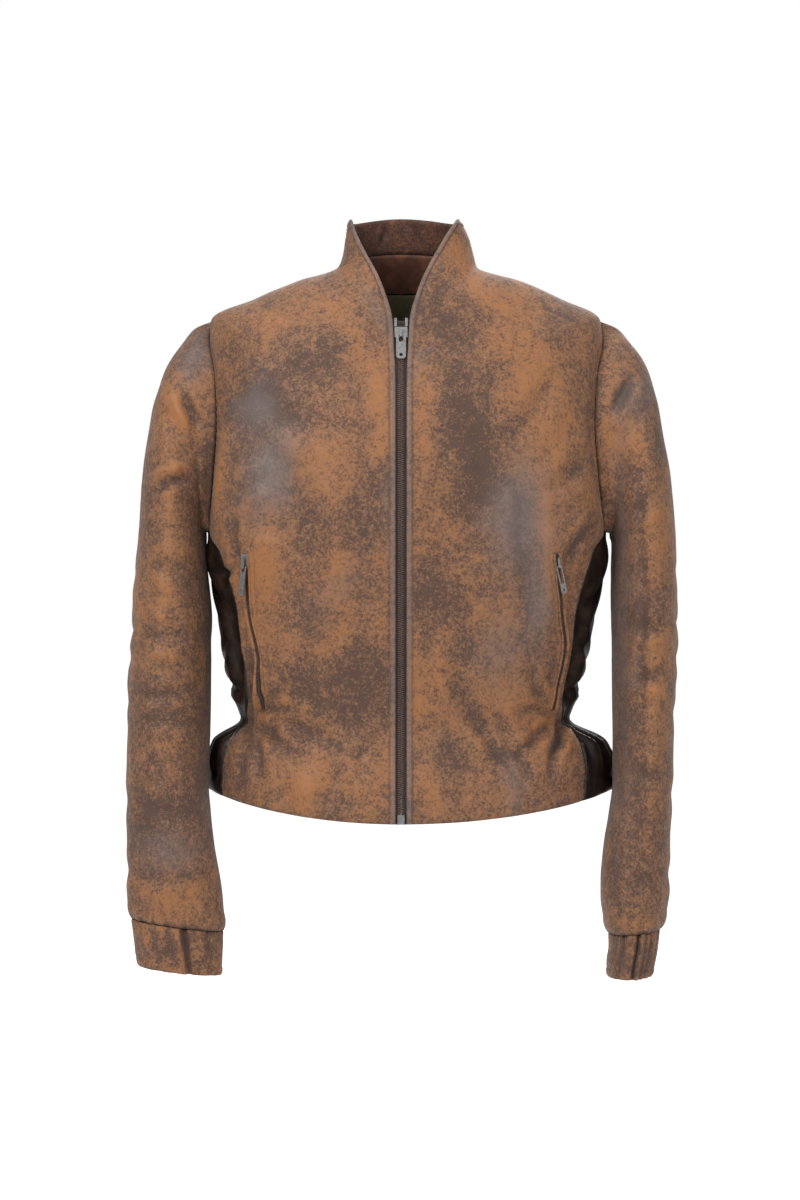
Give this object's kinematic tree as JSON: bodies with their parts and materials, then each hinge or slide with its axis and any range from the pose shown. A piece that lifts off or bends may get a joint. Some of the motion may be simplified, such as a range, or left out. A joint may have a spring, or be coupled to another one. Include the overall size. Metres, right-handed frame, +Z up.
{
  "type": "worn leather jacket",
  "caption": "Cropped distressed leather zip jacket with stand collar, long sleeves, gathered waist, flared hem and zipped side pockets, filled out and hollow.",
  "frame": {"origin": "middle of the neck base on the line of the shoulders, where the wearer holds the jacket up", "axes": "+Z up, -Y the front, +X the wearer's left"},
  "size_m": [0.5462, 0.2603, 0.756],
  "materials": {
    "leather": "tan to cognac leather, rubbed and crackled with dark brown and grey-blue patches",
    "shaded_leather": "dark brown leather of the side panels",
    "facing_leather": "dark reddish-brown facing leather",
    "lining": "olive twill lining",
    "zip_tape": "dark brown woven zip tape",
    "zip_teeth": "dulled brown metal teeth",
    "zip_metal": "bright nickel, lightly scratched"
  },
  "bodies": {
    "jacket": {"front_left": "leather", "front_right": "leather", "side_left": "shaded_leather", "side_right": "shaded_leather", "back": "leather", "collar_facing": "leather", "neck_facing": "facing_leather", "back_lining": "lining", "sleeve_left": "leather", "sleeve_right": "leather", "cuff_left": "leather", "cuff_right": "leather", "zip_tape_left": "zip_tape", "zip_tape_right": "zip_tape", "zip_chain": "zip_teeth", "front_slider": "zip_metal", "top_stop_left": "zip_metal", "top_stop_right": "zip_metal", "bottom_box": "zip_metal", "pocket_zip_left": "zip_tape", "pocket_zip_right": "zip_tape", "pocket_slider_left": "zip_metal", "pocket_slider_right": "zip_metal"},
    "front_pull": {"front_pull": "zip_metal"},
    "pocket_pull_left": {"pocket_pull_left": "zip_metal"},
    "pocket_pull_right": {"pocket_pull_right": "zip_metal"}
  },
  "joints": [
    {"name": "front_pull_swing", "type": "hinge", "parent": "jacket", "child": "front_pull", "pos_m": [0, -0.09363, -0.07388], "axis": [-1, 0, 0], "range_deg": [0, 150]},
    {"name": "pocket_pull_left_swing", "type": "hinge", "parent": "jacket", "child": "pocket_pull_left", "pos_m": [0.15193, -0.10123, -0.29715], "axis": [-0.8517, -0.4605, -0.2502], "range_deg": [-3, 130]},
    {"name": "pocket_pull_right_swing", "type": "hinge", "parent": "jacket", "child": "pocket_pull_right", "pos_m": [-0.15199, -0.09478, -0.2975], "axis": [-0.7792, 0.6136, 0.1284], "range_deg": [-3, 130]}
  ]
}
